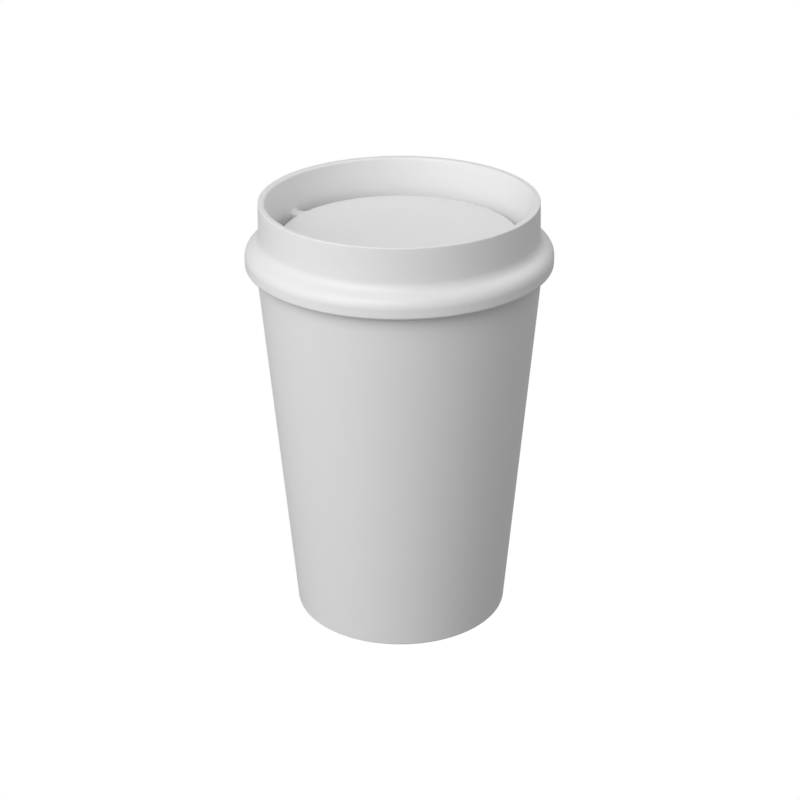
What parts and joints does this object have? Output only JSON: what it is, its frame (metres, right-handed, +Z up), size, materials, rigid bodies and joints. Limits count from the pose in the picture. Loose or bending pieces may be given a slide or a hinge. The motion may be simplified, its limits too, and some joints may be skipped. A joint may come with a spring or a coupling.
{
  "type": "insulated tumbler",
  "caption": "Double-walled drinking tumbler with a tapered body and a screw-on lid whose disc opens a drinking gap all the way round inside a tall collar.",
  "frame": {"origin": "centre of the base, on the surface that the cup stands on", "axes": "+Z up along the cup's axis, +X to the right and +Y away from the viewer as the picture shows the cup"},
  "size_m": [0.0898, 0.0898, 0.1303],
  "materials": {
    "body_plastic": "fine matt texture",
    "liner_plastic": "smooth satin",
    "lid_plastic": "smooth satin",
    "seal_silicone": "matt"
  },
  "bodies": {
    "cup": {"outer_shell": "body_plastic", "inner_liner": "liner_plastic"},
    "neck_ring": {"neck_seal": "seal_silicone"},
    "lid": {"lid": "lid_plastic", "plug_seal": "seal_silicone"}
  },
  "joints": [
    {"name": "lid_lift", "type": "slide", "parent": "cup", "child": "neck_ring", "axis": [0, 0, 1], "range_m": [0, 0.02]},
    {"name": "lid_turn", "type": "hinge", "parent": "neck_ring", "child": "lid", "pos_m": [0, 0, 0.1136], "axis": [0, 0, 1], "range_deg": [0, 360]}
  ],
  "couplings": [
    {"joint": "lid_lift", "follows": "lid_turn", "m_per_rad": 0.0031831}
  ]
}
